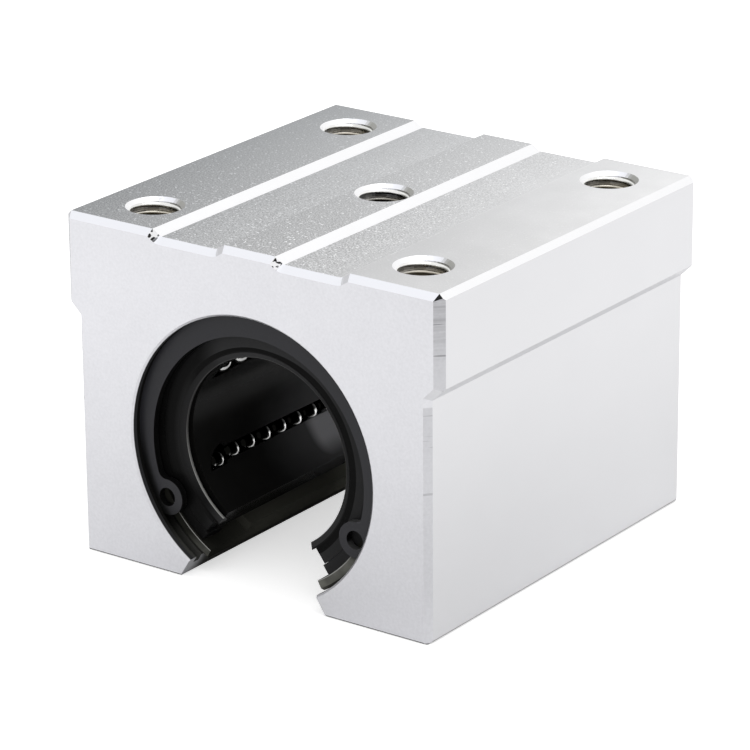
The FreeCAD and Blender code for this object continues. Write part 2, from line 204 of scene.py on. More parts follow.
# ------------------------------------------------------------------ node helpers
class Tree:
    """Adds and joins the nodes of one tree."""

    def __init__(self, tree):
        self.tree = tree

    def add(self, kind, values=None, **settings):
        node = self.tree.nodes.new(kind)
        for name, value in settings.items():
            setattr(node, name, value)
        for name, value in (values or {}).items():
            self.feed(node.inputs[name], value)
        return node

    def feed(self, socket, value):
        if isinstance(value, bpy.types.NodeSocket):
            self.tree.links.new(value, socket)
        else:
            socket.default_value = value

    def maths(self, operation, *values, clamp=False):
        node = self.add("ShaderNodeMath", operation=operation, use_clamp=clamp)
        for socket, value in zip(node.inputs, values):
            self.feed(socket, value)
        return node.outputs[0]

    def times(self, first, *others):
        """Several values multiplied together."""
        for other in others:
            first = self.maths("MULTIPLY", first, other)
        return first

    def plus(self, first, *others):
        """Several values added up."""
        for other in others:
            first = self.maths("ADD", first, other)
        return first

    def minus(self, first, second):
        return self.maths("SUBTRACT", first, second)

    def unsigned(self, value):
        return self.maths("ABSOLUTE", value)

    def vector(self, operation, *values):
        node = self.add("ShaderNodeVectorMath", operation=operation)
        for socket, value in zip(node.inputs, values):
            self.feed(socket, value)
        return node.outputs["Value" if operation in ("DOT_PRODUCT", "LENGTH", "DISTANCE") else "Vector"]

    def split(self, vector):
        """A vector's X, Y and Z."""
        return self.add("ShaderNodeSeparateXYZ", {"Vector": vector}).outputs

    def place(self):
        """Where a point lies in the frame."""
        return self.add("ShaderNodeTexCoord").outputs["Object"]

    def facing(self, kind="True Normal"):
        """Which way a face points."""
        return self.add("ShaderNodeNewGeometry").outputs[kind]

    def slope(self, value, start, end, unit=1.0, curve="LINEAR"):
        """0 before start, 1 past end, in proportion between. It falls where end is the lower of the two."""
        low, high = (limit if isinstance(limit, bpy.types.NodeSocket) else limit * unit
                     for limit in (start, end))
        node = self.add("ShaderNodeMapRange", {"Value": value, "From Min": low, "From Max": high},
                        interpolation_type=curve)
        return node.outputs["Result"]

    def rise(self, value, start, end, unit=1.0):
        """As slope, but smooth between."""
        return self.slope(value, start, end, unit, "SMOOTHSTEP")

    def hump(self, value, start, full, fading, end, unit=1.0):
        """1 from full to fading, 0 before start and past end, smooth between."""
        return self.times(self.rise(value, start, full, unit), self.rise(value, end, fading, unit))

    def blend(self, factor, first, second):
        """A colour between two colours."""
        node = self.add("ShaderNodeMix", data_type="RGBA")
        self.feed(node.inputs["Factor"], factor)
        self.feed(node.inputs[6], first)
        self.feed(node.inputs[7], second)
        return node.outputs[2]

    def noise(self, vector, scale, detail=2.0, roughness=0.5):
        node = self.add("ShaderNodeTexNoise", {"Vector": vector, "Scale": scale, "Detail": detail,
                                               "Roughness": roughness})
        return node.outputs["Fac"]


def new_group(name, inputs, outputs):
    """A shader node group with named inputs (name, kind, default) and number outputs."""
    group = bpy.data.node_groups.new(name, "ShaderNodeTree")
    for label, kind, default in inputs:
        socket = group.interface.new_socket(label, in_out="INPUT", socket_type=kind)
        socket.default_value = default
    for label in outputs:
        group.interface.new_socket(label, in_out="OUTPUT", socket_type="NodeSocketFloat")
    nodes = Tree(group)
    return nodes, nodes.add("NodeGroupInput").outputs, nodes.add("NodeGroupOutput").inputs


def fine_grain():
    """Even fine speckle with a few bright sparkles, for blasted and satin metal."""
    if "fine_grain" in bpy.data.node_groups:
        return bpy.data.node_groups["fine_grain"]
    nodes, given, result = new_group(
        "fine_grain",
        [("Size mm", "NodeSocketFloat", 0.25), ("Sparkle", "NodeSocketFloat", 0.0)],
        ["Grain", "Patches"])
    place = nodes.place()
    scale = nodes.maths("DIVIDE", 1000.0, given["Size mm"])
    grain = nodes.noise(place, scale, 1.0, 0.6)
    sparkle = nodes.rise(nodes.noise(place, nodes.times(scale, 0.7), 0.0), 0.70, 0.80)
    sparkle = nodes.times(sparkle, given["Sparkle"])
    nodes.feed(result["Grain"], nodes.plus(nodes.minus(grain, 0.5), sparkle))
    patches = nodes.noise(place, 150.0, 4.0, 0.6)
    nodes.feed(result["Patches"], nodes.minus(patches, 0.5))
    return nodes.tree


def tool_lines():
    """Fine lines left along one direction by a cutter or wheel."""
    if "tool_lines" in bpy.data.node_groups:
        return bpy.data.node_groups["tool_lines"]
    nodes, given, result = new_group(
        "tool_lines",
        [("Stretch", "NodeSocketVector", (1.0, 1.0, 1.0)), ("Spacing mm", "NodeSocketFloat", 0.3)],
        ["Lines"])
    place = nodes.vector("MULTIPLY", nodes.place(), given["Stretch"])
    scale = nodes.maths("DIVIDE", 1000.0, given["Spacing mm"])
    nodes.feed(result["Lines"], nodes.minus(nodes.noise(place, scale, 2.0, 0.65), 0.5))
    return nodes.tree


def block_place():
    """Where a point lies: its distance from the shaft axis, its place in the frame, how far it is from
    the block's middle (Off Middle, Off Centre), below its top (Depth), above its feet (Height) and in
    from its nearer end (Inward)."""
    if "block_place" in bpy.data.node_groups:
        return bpy.data.node_groups["block_place"]
    nodes, _, result = new_group(
        "block_place", [],
        ["Radius", "X", "Y", "Z", "Off Middle", "Off Centre", "Depth", "Height", "Inward"])
    spot = nodes.split(nodes.place())
    flat = nodes.add("ShaderNodeCombineXYZ", {"X": spot["X"], "Z": spot["Z"]}).outputs[0]
    off_centre = nodes.unsigned(spot["Y"])
    values = {"Radius": nodes.vector("LENGTH", flat), "X": spot["X"], "Y": spot["Y"], "Z": spot["Z"],
              "Off Middle": nodes.unsigned(spot["X"]), "Off Centre": off_centre,
              "Depth": nodes.minus(CAD_HIGH[2], spot["Z"]), "Height": nodes.minus(spot["Z"], CAD_LOW[2]),
              "Inward": nodes.minus(CAD_HIGH[1], off_centre)}
    for label, value in values.items():
        nodes.feed(result[label], value)
    return nodes.tree


def new_material(name, **constants):
    """A material with one Principled BSDF whose constant sockets are set here."""
    material = bpy.data.materials.new(name)
    material.use_nodes = True
    nodes = Tree(material.node_tree)
    shader = material.node_tree.nodes["Principled BSDF"]
    for label, value in constants.items():
        shader.inputs[label.replace("_", " ")].default_value = value
    return material, nodes, shader


def place_group(nodes, group, **values):
    node = nodes.add("ShaderNodeGroup", node_tree=group)
    for label, value in values.items():
        nodes.feed(node.inputs[label.replace("_", " ")], value)
    return node.outputs


def shaded(nodes, base, amount):
    """A colour made lighter or darker by an amount about zero."""
    gain = nodes.plus(amount, 1.0)
    gains = nodes.add("ShaderNodeCombineXYZ", {"X": gain, "Y": gain, "Z": gain})
    return nodes.vector("MULTIPLY", base, gains.outputs[0])


def rough_surface(nodes, shader, height, distance, strength=1.0):
    bump = nodes.add("ShaderNodeBump", {"Height": height, "Distance": distance, "Strength": strength})
    nodes.feed(shader.inputs["Normal"], bump.outputs["Normal"])


def grey(value):
    return (value, value, value, 1.0)


def opaque(rgb):
    return (*rgb, 1.0)


def set_material(thing, material):
    thing.data.materials.clear()
    thing.data.materials.append(material)


# ------------------------------------------------------------------ holes
def hole_places():
    """The four corner holes and the middle one, at the plane where their threads begin."""
    mount = MOUNTS["mounting_threads"]
    centre = Vector(mount["pos_m"])
    across = mount["dims"]["spacing_x_mm"] * MM / 2
    along = mount["dims"]["spacing_y_mm"] * MM / 2
    corners = [centre + Vector((x, y, 0)) for x in (-across, across) for y in (-along, along)]
    return corners, centre


def turned_from_light(nodes, normal, start, end):
    """1 on the side of each hole that the light leaves grey."""
    away = nodes.times(nodes.vector("DOT_PRODUCT", normal, RIGHT_REAR), -1.0)
    return nodes.rise(away, start, end)


def deep_hole_colour(nodes, spot, inside):
    """Painted shade down in the holes, on a brownish tint, darkest in the middle one."""
    in_middle = nodes.rise(spot["Off Middle"], *MIDDLE_HOLE, MM)
    return shaded(nodes, tuple(inside), nodes.times(in_middle, -0.6))


# ------------------------------------------------------------------ housing
class HousingSurface:
    """Where a point of the housing lies, which way its face points and the textures it shares."""

    def __init__(self, nodes, settings):
        self.facing = nodes.facing()
        self.normal = nodes.split(self.facing)
        self.sideways = nodes.unsigned(self.normal["X"])
        self.endways = nodes.unsigned(self.normal["Y"])
        self.spot = place_group(nodes, block_place())
        self.along = nodes.rise(self.spot["Y"], CAD_LOW[1], CAD_HIGH[1])
        self.across = nodes.slope(self.spot["X"], CAD_LOW[0], CAD_HIGH[0])

        squarely = (0.985, 0.995)
        self.on_top = nodes.rise(self.normal["Z"], *squarely)
        self.on_end = nodes.rise(self.endways, *squarely)
        self.on_side = nodes.rise(self.sideways, *squarely)
        level = nodes.rise(nodes.unsigned(self.normal["Z"]), 0.2, 0.1)
        between = nodes.rise(nodes.times(self.sideways, self.endways), 0.40, 0.47)
        self.upright_chamfer = nodes.times(level, between)

        self.grain = place_group(nodes, fine_grain(), Size_mm=settings.grain_size / MM, Sparkle=0.45)
        self.satin = place_group(nodes, fine_grain(), Size_mm=0.45, Sparkle=0.0)
        self.chatter = place_group(nodes, tool_lines(), Stretch=(0.05, 0.05, 1.0), Spacing_mm=0.9)["Lines"]


def blasted_colour(nodes, surface, settings):
    """The blasted top grows smoother to the right and the back, and painted light makes it paler to the right
    and the back; rib and channel have their own tone.
    """
    spot, along = surface.spot, surface.along
    # painted light across the top: darker on the left, paler on the right
    base = nodes.blend(surface.across, opaque(settings.blasted_shaded_left), opaque(settings.blasted_lit_right))
    # more painted light towards the back
    lighter = nodes.times(nodes.minus(along, 0.45), 0.22)
    on_rib = nodes.rise(spot["Off Middle"], *RIB, MM)
    left_channel = nodes.hump(spot["X"], *LEFT_CHANNEL, MM)
    lighter = nodes.plus(lighter, nodes.times(on_rib, -0.05), nodes.times(left_channel, 0.06))
    coarse = nodes.plus(0.15, nodes.times(nodes.rise(spot["X"], *COARSE_BLASTING, MM), 1.55))
    nearer = nodes.minus(1.15, nodes.times(along, 0.6))
    speckle = nodes.times(surface.grain["Grain"], coarse, nearer)
    mottle = nodes.plus(speckle, nodes.times(surface.grain["Patches"], 0.18))
    return shaded(nodes, base, nodes.plus(mottle, lighter))


def end_and_side_colours(nodes, surface, settings):
    """Ends and sides carry painted shade that darkens them a little towards the feet; the ends are also
    darker to the right.
    """
    satin, along = surface.satin, surface.along
    height = nodes.rise(surface.spot["Height"], 0, 45, MM)
    # painted shade, darker towards the feet
    height_shade = nodes.times(nodes.minus(height, 1.0), settings.foot_shade_amount)
    end_amount = nodes.plus(nodes.times(satin["Grain"], 0.12), height_shade)
    end_amount = nodes.minus(end_amount, nodes.times(surface.across, 0.08))
    side_height_shade = nodes.times(height_shade, nodes.minus(1.15, nodes.times(along, 0.4)))
    side_amount = nodes.plus(nodes.times(satin["Patches"], 0.04), side_height_shade,
                             nodes.times(nodes.minus(along, 1.0), 0.04))
    return (shaded(nodes, tuple(settings.satin), end_amount),
            shaded(nodes, tuple(settings.side), side_amount))


def upright_chamfer_colour(nodes, surface, end_colour):
    """Chatter and a few nicks across the upright chamfers, darkest at the flange's top."""
    up, chatter = surface.spot["Z"], surface.chatter
    upper = nodes.rise(up, *FLANGE_CHATTER, MM)
    amount = nodes.plus(nodes.times(nodes.rise(up, 0, 16, MM), -0.09),
                        nodes.times(upper, -0.24),
                        nodes.times(nodes.rise(surface.spot["Height"], 0, 12, MM), -0.11),
                        nodes.times(chatter, nodes.plus(0.03, upper)))
    nicks = nodes.times(nodes.rise(chatter, 0.11, 0.17), nodes.rise(up, -8, 6, MM))
    amount = nodes.minus(amount, nodes.times(nicks, 0.35))
    under_step = nodes.hump(up, *STEP_FOOT, MM)
    return shaded(nodes, end_colour, nodes.times(amount, nodes.minus(1.0, under_step)))


def cut_edge_colour(nodes, surface, settings, top_colour, end_colour):
    """Bright chamfers, blasted channel slopes, and painted shade on faces that look down: grey on the step
    under the flange, dark on the feet's edges.
    """
    normal, spot, endways = surface.normal, surface.spot, surface.endways
    fresh = nodes.blend(nodes.rise(endways, 0.5, 0.6), opaque(settings.chamfer), FRONT_CUT)
    base = nodes.blend(surface.upright_chamfer, fresh, upright_chamfer_colour(nodes, surface, end_colour))

    # the channel slopes that face left are blasted like the top
    leftward = nodes.times(nodes.rise(normal["X"], -0.1, -0.2), nodes.rise(endways, 0.2, 0.1))
    from_left = nodes.minus(spot["X"], CAD_LOW[0])
    on_slope = nodes.times(leftward, nodes.rise(from_left, 1.5, 2, MM),
                           nodes.rise(spot["Depth"], *CHANNEL_SLOPE, MM))
    base = nodes.blend(on_slope, base, shaded(nodes, top_colour, 0.08))

    # painted shade on faces that look down
    under = nodes.rise(normal["Z"], -0.2, -0.55)
    base = nodes.blend(under, base, opaque(settings.step))
    # painted shadow on the faces that look down at the feet
    foot_shadow = nodes.times(under, nodes.rise(spot["Height"], *FOOT_EDGE_SHADOW, MM))
    return nodes.blend(foot_shadow, base, opaque(settings.foot_shadow))


def with_corner_facets(nodes, surface, base):
    """Small facets where two chamfers meet on the top, with painted dark reflections: speckled where they
    face right, else grey.
    """
    slanting = nodes.hump(surface.endways, 0.60, 0.66, 0.76, 0.82)
    steep = nodes.times(nodes.rise(surface.sideways, 0.28, 0.34), nodes.rise(surface.normal["Z"], 0.2, 0.3))
    facet = nodes.times(slanting, steep, nodes.rise(surface.spot["Depth"], *CORNER_FACET, MM))
    at_corner = nodes.rise(surface.spot["Off Middle"], 30, 32, MM)
    # painted dark reflections, darker at the outer corners
    pale = nodes.minus(nodes.noise(nodes.place(), 2200.0, 0.0), nodes.times(at_corner, 0.40))
    speckled = nodes.blend(nodes.rise(pale, 0.42, 0.50), grey(0.02), (0.75, 0.75, 0.76, 1.0))
    rightward = nodes.rise(surface.normal["X"], -0.1, 0.1)
    return nodes.blend(facet, base, nodes.blend(rightward, (0.60, 0.60, 0.62, 1.0), speckled))


def with_feet(nodes, surface, settings, base, side_colour):
    """A painted shadow line round the feet, and soles as plain as the sides."""
    height, upward = surface.spot["Height"], surface.normal["Z"]
    # painted shadow line round the feet
    line = nodes.times(nodes.rise(height, *FOOT_SHADOW_LINE, MM), nodes.rise(upward, -0.9, -0.8))
    base = nodes.blend(line, base, opaque(settings.foot_shadow))
    sole = nodes.times(nodes.rise(height, *SOLE, MM), nodes.rise(upward, -0.95, -0.98))
    return nodes.blend(sole, base, side_colour)


def with_bore_and_slot(nodes, surface, settings, base, end_colour):
    """The bore's mouth is as bright as the ends; the walls behind it and the slot's carry a dark, non-metal
    painted shade, paler lower down and towards the back, with a less dark band just behind the mouth.
    """
    spot = surface.spot
    inward = spot["Inward"]
    in_bore = nodes.rise(spot["Radius"], *BORE_WALL, MM)
    base = nodes.blend(in_bore, base, end_colour)
    in_slot = nodes.times(nodes.rise(spot["Off Middle"], *SLOT_WALL, MM), nodes.rise(spot["Z"], -10, -12, MM),
                          nodes.hump(surface.sideways, 0.70, 0.76, 0.90, 0.95))
    past_mouth = nodes.rise(inward, *BEHIND_MOUTH, MM)
    # painted shade on the walls past the mouth and in the slot
    shade_film = nodes.maths("MAXIMUM", nodes.times(in_bore, past_mouth), in_slot)
    # the painted shade grows paler lower down and towards the back
    shade_paling = nodes.plus(nodes.times(nodes.rise(spot["Z"], -14, -18.5, MM), 5.7),
                         nodes.times(nodes.rise(spot["Y"], 2, 12, MM), 7.0))
    base = nodes.blend(shade_film, base, shaded(nodes, tuple(settings.shade_film), shade_paling))
    # a less dark band of the painted shade just behind the mouth
    mouth_band = nodes.times(nodes.hump(inward, *MOUTH_BAND, MM),
                       nodes.maths("SUBTRACT", in_bore, in_slot, clamp=True))
    base = nodes.blend(mouth_band, base, (0.045, 0.045, 0.048, 1.0))
    slot_tip = nodes.times(in_slot, nodes.rise(inward, *SLOT_TIP, MM), 0.8)
    return nodes.blend(slot_tip, base, end_colour), shade_film


def with_holes(nodes, surface, base, inside):
    """Each hole's mouth has painted shade on the side turned from the light, and its wall has painted shade
    further in.
    """
    spot = surface.spot
    corners, _ = hole_places()
    folded = nodes.add("ShaderNodeCombineXYZ", {"X": spot["Off Middle"], "Y": spot["Off Centre"]}).outputs[0]
    from_corner = nodes.vector("DISTANCE", folded, (corners[-1].x, corners[-1].y, 0))
    from_axis = nodes.maths("MINIMUM", from_corner, nodes.vector("LENGTH", folded))
    from_wall = nodes.minus(from_axis, HOLE_RADIUS)
    on_mouth = nodes.times(nodes.rise(from_wall, *HOLE_MOUTH, MM), nodes.rise(spot["Depth"], 4, 3, MM),
                           nodes.rise(surface.normal["Z"], 0.95, 0.85))
    painted_shade = nodes.times(on_mouth, turned_from_light(nodes, surface.facing, 0.40, 0.62))
    base = nodes.blend(painted_shade, base, SHADED_CUT)
    in_hole = nodes.times(nodes.rise(from_wall, *HOLE_WALL, MM), nodes.rise(spot["Depth"], 1.0, 2.4, MM),
                          nodes.rise(spot["Z"], 4, 6, MM))
    return nodes.blend(in_hole, base, deep_hole_colour(nodes, spot, inside))


def make_housing_finish(settings, inside):
    """Satin ends, smooth sides, blasted top and bright cut edges, told apart by where a face points."""
    material, nodes, shader = new_material("satin_aluminium", IOR=1.5, Specular_IOR_Level=0.0)
    surface = HousingSurface(nodes, settings)
    top_colour = blasted_colour(nodes, surface, settings)
    end_colour, side_colour = end_and_side_colours(nodes, surface, settings)
    base = cut_edge_colour(nodes, surface, settings, top_colour, end_colour)
    base = with_corner_facets(nodes, surface, base)
    base = nodes.blend(surface.on_top, base, top_colour)
    base = nodes.blend(surface.on_end, base, end_colour)
    base = nodes.blend(surface.on_side, base, side_colour)
    base = with_feet(nodes, surface, settings, base, side_colour)
    base, shade_film = with_bore_and_slot(nodes, surface, settings, base, end_colour)
    base = with_holes(nodes, surface, base, inside)
    nodes.feed(shader.inputs["Base Color"], base)
    # no metal where the painted shade lies
    nodes.feed(shader.inputs["Metallic"], nodes.minus(1.0, shade_film))
    nodes.feed(shader.inputs["Roughness"], nodes.plus(0.42, nodes.times(surface.satin["Patches"], 0.2)))
    relief = nodes.plus(nodes.times(surface.grain["Grain"], surface.on_top),
                        nodes.times(surface.satin["Grain"], surface.on_end, 0.4),
                        nodes.times(surface.chatter, surface.upright_chamfer))
    rough_surface(nodes, shader, relief, 0.02 * MM, 0.3)
    return material


class BEARING_OT_finish_housing(Operator):
    """Give the aluminium housing its satin, blasted and freshly cut faces"""
    bl_idname = "bearing_block.finish_housing"
    bl_label = "Finish Housing"

    def execute(self, context):
        scene = context.scene
        material = make_housing_finish(scene.bearing_housing, scene.bearing_threads.inside)
        set_material(frame["nodes"]["housing"], material)
        return {"FINISHED"}


# ------------------------------------------------------------------ geometry nodes helpers
def new_shape_tree(name, inputs):
    """A geometry node tree with a geometry in and out and named inputs (name, kind)."""
    group = bpy.data.node_groups.new(name, "GeometryNodeTree")
    group.interface.new_socket("Geometry", in_out="INPUT", socket_type="NodeSocketGeometry")
    for label, kind in inputs:
        group.interface.new_socket(label, in_out="INPUT", socket_type=kind)
    group.interface.new_socket("Geometry", in_out="OUTPUT", socket_type="NodeSocketGeometry")
    nodes = Tree(group)
    return nodes, nodes.add("NodeGroupInput").outputs, nodes.add("NodeGroupOutput").inputs["Geometry"]


def finish_shape(nodes, geometry, material, result):
    """End a tree: real geometry, smooth faces, one material."""
    real = nodes.add("GeometryNodeRealizeInstances", {"Geometry": geometry})
    smooth = nodes.add("GeometryNodeSetShadeSmooth", {"Geometry": real.outputs[0]})
    dressed = nodes.add("GeometryNodeSetMaterial", {"Geometry": smooth.outputs[0], "Material": material})
    nodes.feed(result, dressed.outputs[0])


def grow(name, points, tree, values):
    """Run a tree on a mesh and keep the result as a plain mesh object."""
    thing = bpy.data.objects.new(name, points)
    bpy.context.scene.collection.objects.link(thing)
    modifier = thing.modifiers.new("shape", "NODES")
    modifier.node_group = tree
    for socket in tree.interface.items_tree:
        if socket.in_out == "INPUT" and socket.name in values:
            modifier[socket.identifier] = values[socket.name]
    context = bpy.context.evaluated_depsgraph_get()
    plain = bpy.data.meshes.new_from_object(thing.evaluated_get(context))
    thing.modifiers.clear()
    thing.data = plain
    plain.name = name
    return thing


def points_mesh(name, places):
    mesh = bpy.data.meshes.new(name)
    mesh.from_pydata([tuple(place) for place in places], [], [])
    return mesh


# ------------------------------------------------------------------ threads
def make_thread_tree():
    """A helical ridge of trapezoid section that runs out at its upper end, repeated at each point."""
    nodes, given, result = new_shape_tree(
        "thread_turns",
        [("Wall Radius", "NodeSocketFloat"), ("Pitch", "NodeSocketFloat"),
         ("Length", "NodeSocketFloat"), ("Material", "NodeSocketMaterial")])
    turns = nodes.maths("DIVIDE", given["Length"], given["Pitch"])
    helix = nodes.add("GeometryNodeCurveSpiral",
                      {"Resolution": 40, "Rotations": turns, "Start Radius": given["Wall Radius"],
                       "End Radius": given["Wall Radius"], "Height": given["Length"], "Reverse": True})
    progress = nodes.add("GeometryNodeSplineParameter").outputs["Factor"]
    last_turn = nodes.minus(1.0, nodes.maths("DIVIDE", 0.3, turns))
    thinning = nodes.plus(0.15, nodes.times(nodes.slope(progress, 1.0, last_turn), 0.85))
    upright = nodes.add("GeometryNodeSetCurveNormal", {"Curve": helix.outputs[0]}, mode="Z_UP")
    section = nodes.add("GeometryNodeCurvePrimitiveQuadrilateral",
                        {"Height": nodes.times(given["Pitch"], 0.54),
                         "Bottom Width": nodes.times(given["Pitch"], 0.25),
                         "Top Width": nodes.times(given["Pitch"], 0.86), "Offset": 0.0},
                        mode="TRAPEZOID")
    ridge = nodes.add("GeometryNodeCurveToMesh", {"Curve": upright.outputs[0], "Scale": thinning,
                                                  "Profile Curve": section.outputs[0], "Fill Caps": True})
    placed = nodes.add("GeometryNodeInstanceOnPoints", {"Points": given["Geometry"],
                                                        "Instance": ridge.outputs[0]})
    finish_shape(nodes, placed.outputs[0], given["Material"], result)
    return nodes.tree


def make_thread_finish(settings):
    """Bright metal near the mouth, with painted shade on the side turned from the light and further in."""
    material, nodes, shader = new_material("thread_aluminium", Metallic=1.0, IOR=1.5)
    spot = place_group(nodes, block_place())
    patches = place_group(nodes, fine_grain(), Size_mm=0.3)["Patches"]
    away = turned_from_light(nodes, nodes.facing("Normal"), 0.50, 0.75)
    bright = shaded(nodes, nodes.blend(away, (0.88, 0.88, 0.86, 1.0), SHADED_CUT), patches)
    deep = deep_hole_colour(nodes, spot, settings.inside)
    base = nodes.blend(nodes.rise(spot["Depth"], 1.3, 2.4, MM), bright, deep)
    nodes.feed(shader.inputs["Base Color"], base)
    nodes.feed(shader.inputs["Roughness"], nodes.plus(0.28, patches))
    return material


class BEARING_OT_cut_threads(Operator):
    """Wind the thread ridges into the five screw holes"""
    bl_idname = "bearing_block.cut_threads"
    bl_label = "Cut Threads"

    def execute(self, context):
        settings = context.scene.bearing_threads
        tree = make_thread_tree()
        material = make_thread_finish(settings)
        corners, centre = hole_places()
        for name, places, span in (("corner_threads", corners, settings.corner_length),
                                   ("middle_thread", [centre], settings.middle_length)):
            drop = Vector((0, 0, span))
            points = points_mesh(name, [place - drop for place in places])
            threads = grow(name, points, tree, {"Wall Radius": HOLE_RADIUS, "Pitch": settings.pitch,
                                                "Length": span, "Material": material})
            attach(threads, BODY)
        return {"FINISHED"}


# ------------------------------------------------------------------ balls
def make_ball_tree():
    """A smooth ball at the middle of each faceted one."""
    nodes, given, result = new_shape_tree(
        "smooth_balls",
        [("Diameter", "NodeSocketFloat"), ("Subdivisions", "NodeSocketInt"),
         ("Material", "NodeSocketMaterial")])
    joined = nodes.add("GeometryNodeMergeByDistance", {"Geometry": given["Geometry"],
                                                       "Distance": 0.01 * MM})
    ball = nodes.add("GeometryNodeInputMeshIsland").outputs["Island Index"]
    place = nodes.add("GeometryNodeInputPosition").outputs[0]
    reach = nodes.add("GeometryNodeAccumulateField", data_type="FLOAT_VECTOR")
    count = nodes.add("GeometryNodeAccumulateField", data_type="FLOAT")
    for node, value in ((reach, place), (count, 1.0)):
        nodes.feed(node.inputs["Value"], value)
        nodes.feed(node.inputs["Group ID"], ball)
    share = nodes.maths("DIVIDE", 1.0, count.outputs["Total"])
    middle = nodes.add("ShaderNodeVectorMath", operation="SCALE")
    nodes.feed(middle.inputs[0], reach.outputs["Total"])
    nodes.feed(middle.inputs["Scale"], share)
    gathered = nodes.add("GeometryNodeSetPosition", {"Geometry": joined.outputs[0],
                                                     "Position": middle.outputs[0]})
    centres = nodes.add("GeometryNodeMergeByDistance", {"Geometry": gathered.outputs[0],
                                                        "Distance": 0.01 * MM})
    sphere = nodes.add("GeometryNodeMeshIcoSphere",
                       {"Radius": nodes.times(given["Diameter"], 0.5),
                        "Subdivisions": given["Subdivisions"]})
    placed = nodes.add("GeometryNodeInstanceOnPoints", {"Points": centres.outputs[0],
                                                        "Instance": sphere.outputs[0]})
    finish_shape(nodes, placed.outputs[0], given["Material"], result)
    return nodes.tree


def make_ball_finish(settings):
    """Polished steel, with painted shade on all but the sides that are turned to the slot and the far end."""
    material, nodes, shader = new_material("polished_ball_steel", Metallic=1.0)
    patches = place_group(nodes, fine_grain(), Size_mm=0.8)["Patches"]
    towards_light = nodes.vector("DOT_PRODUCT", nodes.facing("Normal"), BALL_LIGHT)
    lit_side = nodes.rise(towards_light, 0.34, 0.58)
    steel = shaded(nodes, tuple(settings.steel), nodes.times(patches, 0.1))
    nodes.feed(shader.inputs["Base Color"], nodes.blend(lit_side, opaque(settings.ball_shade), steel))
    nodes.feed(shader.inputs["Roughness"], nodes.plus(0.10, nodes.times(patches, 0.1)))
    return material


class BEARING_OT_fit_balls(Operator):
    """Put a smooth polished ball in place of each faceted one"""
    bl_idname = "bearing_block.fit_balls"
    bl_label = "Fit Balls"

    def execute(self, context):
        settings = context.scene.bearing_balls
        faceted = bmesh.new()
        for name in BALL_NODES:
            faceted.from_mesh(frame["nodes"][name].data)
        mesh = bpy.data.meshes.new("faceted_balls")
        faceted.to_mesh(mesh)
        faceted.free()
        mesh.materials.clear()
        balls = grow("bearing_balls", mesh, make_ball_tree(),
                     {"Diameter": settings.diameter, "Subdivisions": settings.subdivisions,
                      "Material": make_ball_finish(settings)})
        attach(balls, BODY)
        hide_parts(*BALL_NODES)
        return {"FINISHED"}


# ------------------------------------------------------------------ bearing pieces
def make_resin_finish(name, rgb, roughness, wear, gloss, ior=1.5):
    """Moulded black resin or rubber with a faint skin texture."""
    material, nodes, shader = new_material(name, IOR=ior, Specular_IOR_Level=gloss)
    skin = place_group(nodes, fine_grain(), Size_mm=0.5)
    base = shaded(nodes, tuple(rgb), nodes.times(skin["Patches"], wear))
    nodes.feed(shader.inputs["Base Color"], base)
    nodes.feed(shader.inputs["Roughness"], nodes.plus(roughness, nodes.times(skin["Patches"], 0.25)))
    rough_surface(nodes, shader, skin["Grain"], 0.004 * MM, 0.4)
    return material, nodes, shader, base


def make_retainer_finish(settings):
    """Black resin with a painted reflection low on its left side, in a faint wider halo."""
    material, nodes, shader, base = make_resin_finish("retainer_resin", settings.resin, 0.22, 0.5, 0.07, 1.45)
    place = nodes.place()
    spot = nodes.split(place)
    # painted reflection: a sharp patch and a faint halo round it
    halo = nodes.rise(nodes.vector("DISTANCE", place, SHEEN_CENTRE), 15, 1, MM)
    sheen = nodes.times(nodes.hump(spot["Y"], *SHEEN_ALONG, MM),
                        nodes.hump(spot["Z"], *SHEEN_UP, MM),
                        nodes.rise(spot["X"], 0, -4, MM))
    sheen = nodes.maths("MAXIMUM", sheen, nodes.times(halo, 0.15))
    nodes.feed(shader.inputs["Base Color"], nodes.blend(sheen, base, (0.60, 0.60, 0.635, 1.0)))
    return material


def make_closure_finish(settings, name):
    """Black rubber with painted light: paler where it faces the light, dark in its groove and on the left; a
    painted highlight on the lip.
    """
    material, nodes, shader, base = make_resin_finish(name, settings.rubber, 0.30, 0.8, 0.03)
    spot = place_group(nodes, block_place())
    across, height, radius = spot["X"], spot["Z"], spot["Radius"]
    # painted light on the rubber, weaker on the right and stronger near the lip
    right_shade = nodes.times(nodes.rise(across, 6, 15, MM), 0.35)
    lit = nodes.times(nodes.rise(across, -12.5, -7, MM), nodes.minus(1.0, right_shade))
    near_lip = nodes.times(nodes.slope(radius, 17.2, 15.4, MM), 0.6, nodes.rise(height, -12, -4, MM))
    lit = nodes.maths("MAXIMUM", lit, near_lip)

    # the groove is wider on the right
    groove_edge = nodes.plus(SEAL_GROOVE_EDGE * MM, nodes.times(nodes.rise(across, 0, 12, MM), 0.5 * MM))
    past_groove = nodes.minus(radius, groove_edge)
    groove = nodes.times(nodes.rise(radius, *SEAL_GROOVE, MM), nodes.rise(past_groove, 0.08, -0.02, MM),
                         nodes.rise(across, -15, -12, MM))
    base = nodes.blend(nodes.times(lit, nodes.minus(1.0, groove)), base, (0.036, 0.036, 0.037, 1.0))

    # painted highlight along the lip, strongest low on the left
    lip = nodes.rise(radius, *SEAL_LIP, MM)
    lower_left = nodes.times(nodes.rise(across, 3, -8, MM), nodes.rise(height, 4, -9, MM))
    lip_highlight = nodes.times(lip, nodes.plus(0.08, nodes.times(lower_left, 0.5)))
    nodes.feed(shader.inputs["Base Color"], nodes.blend(lip_highlight, base, opaque(settings.edge_highlight)))
    return material


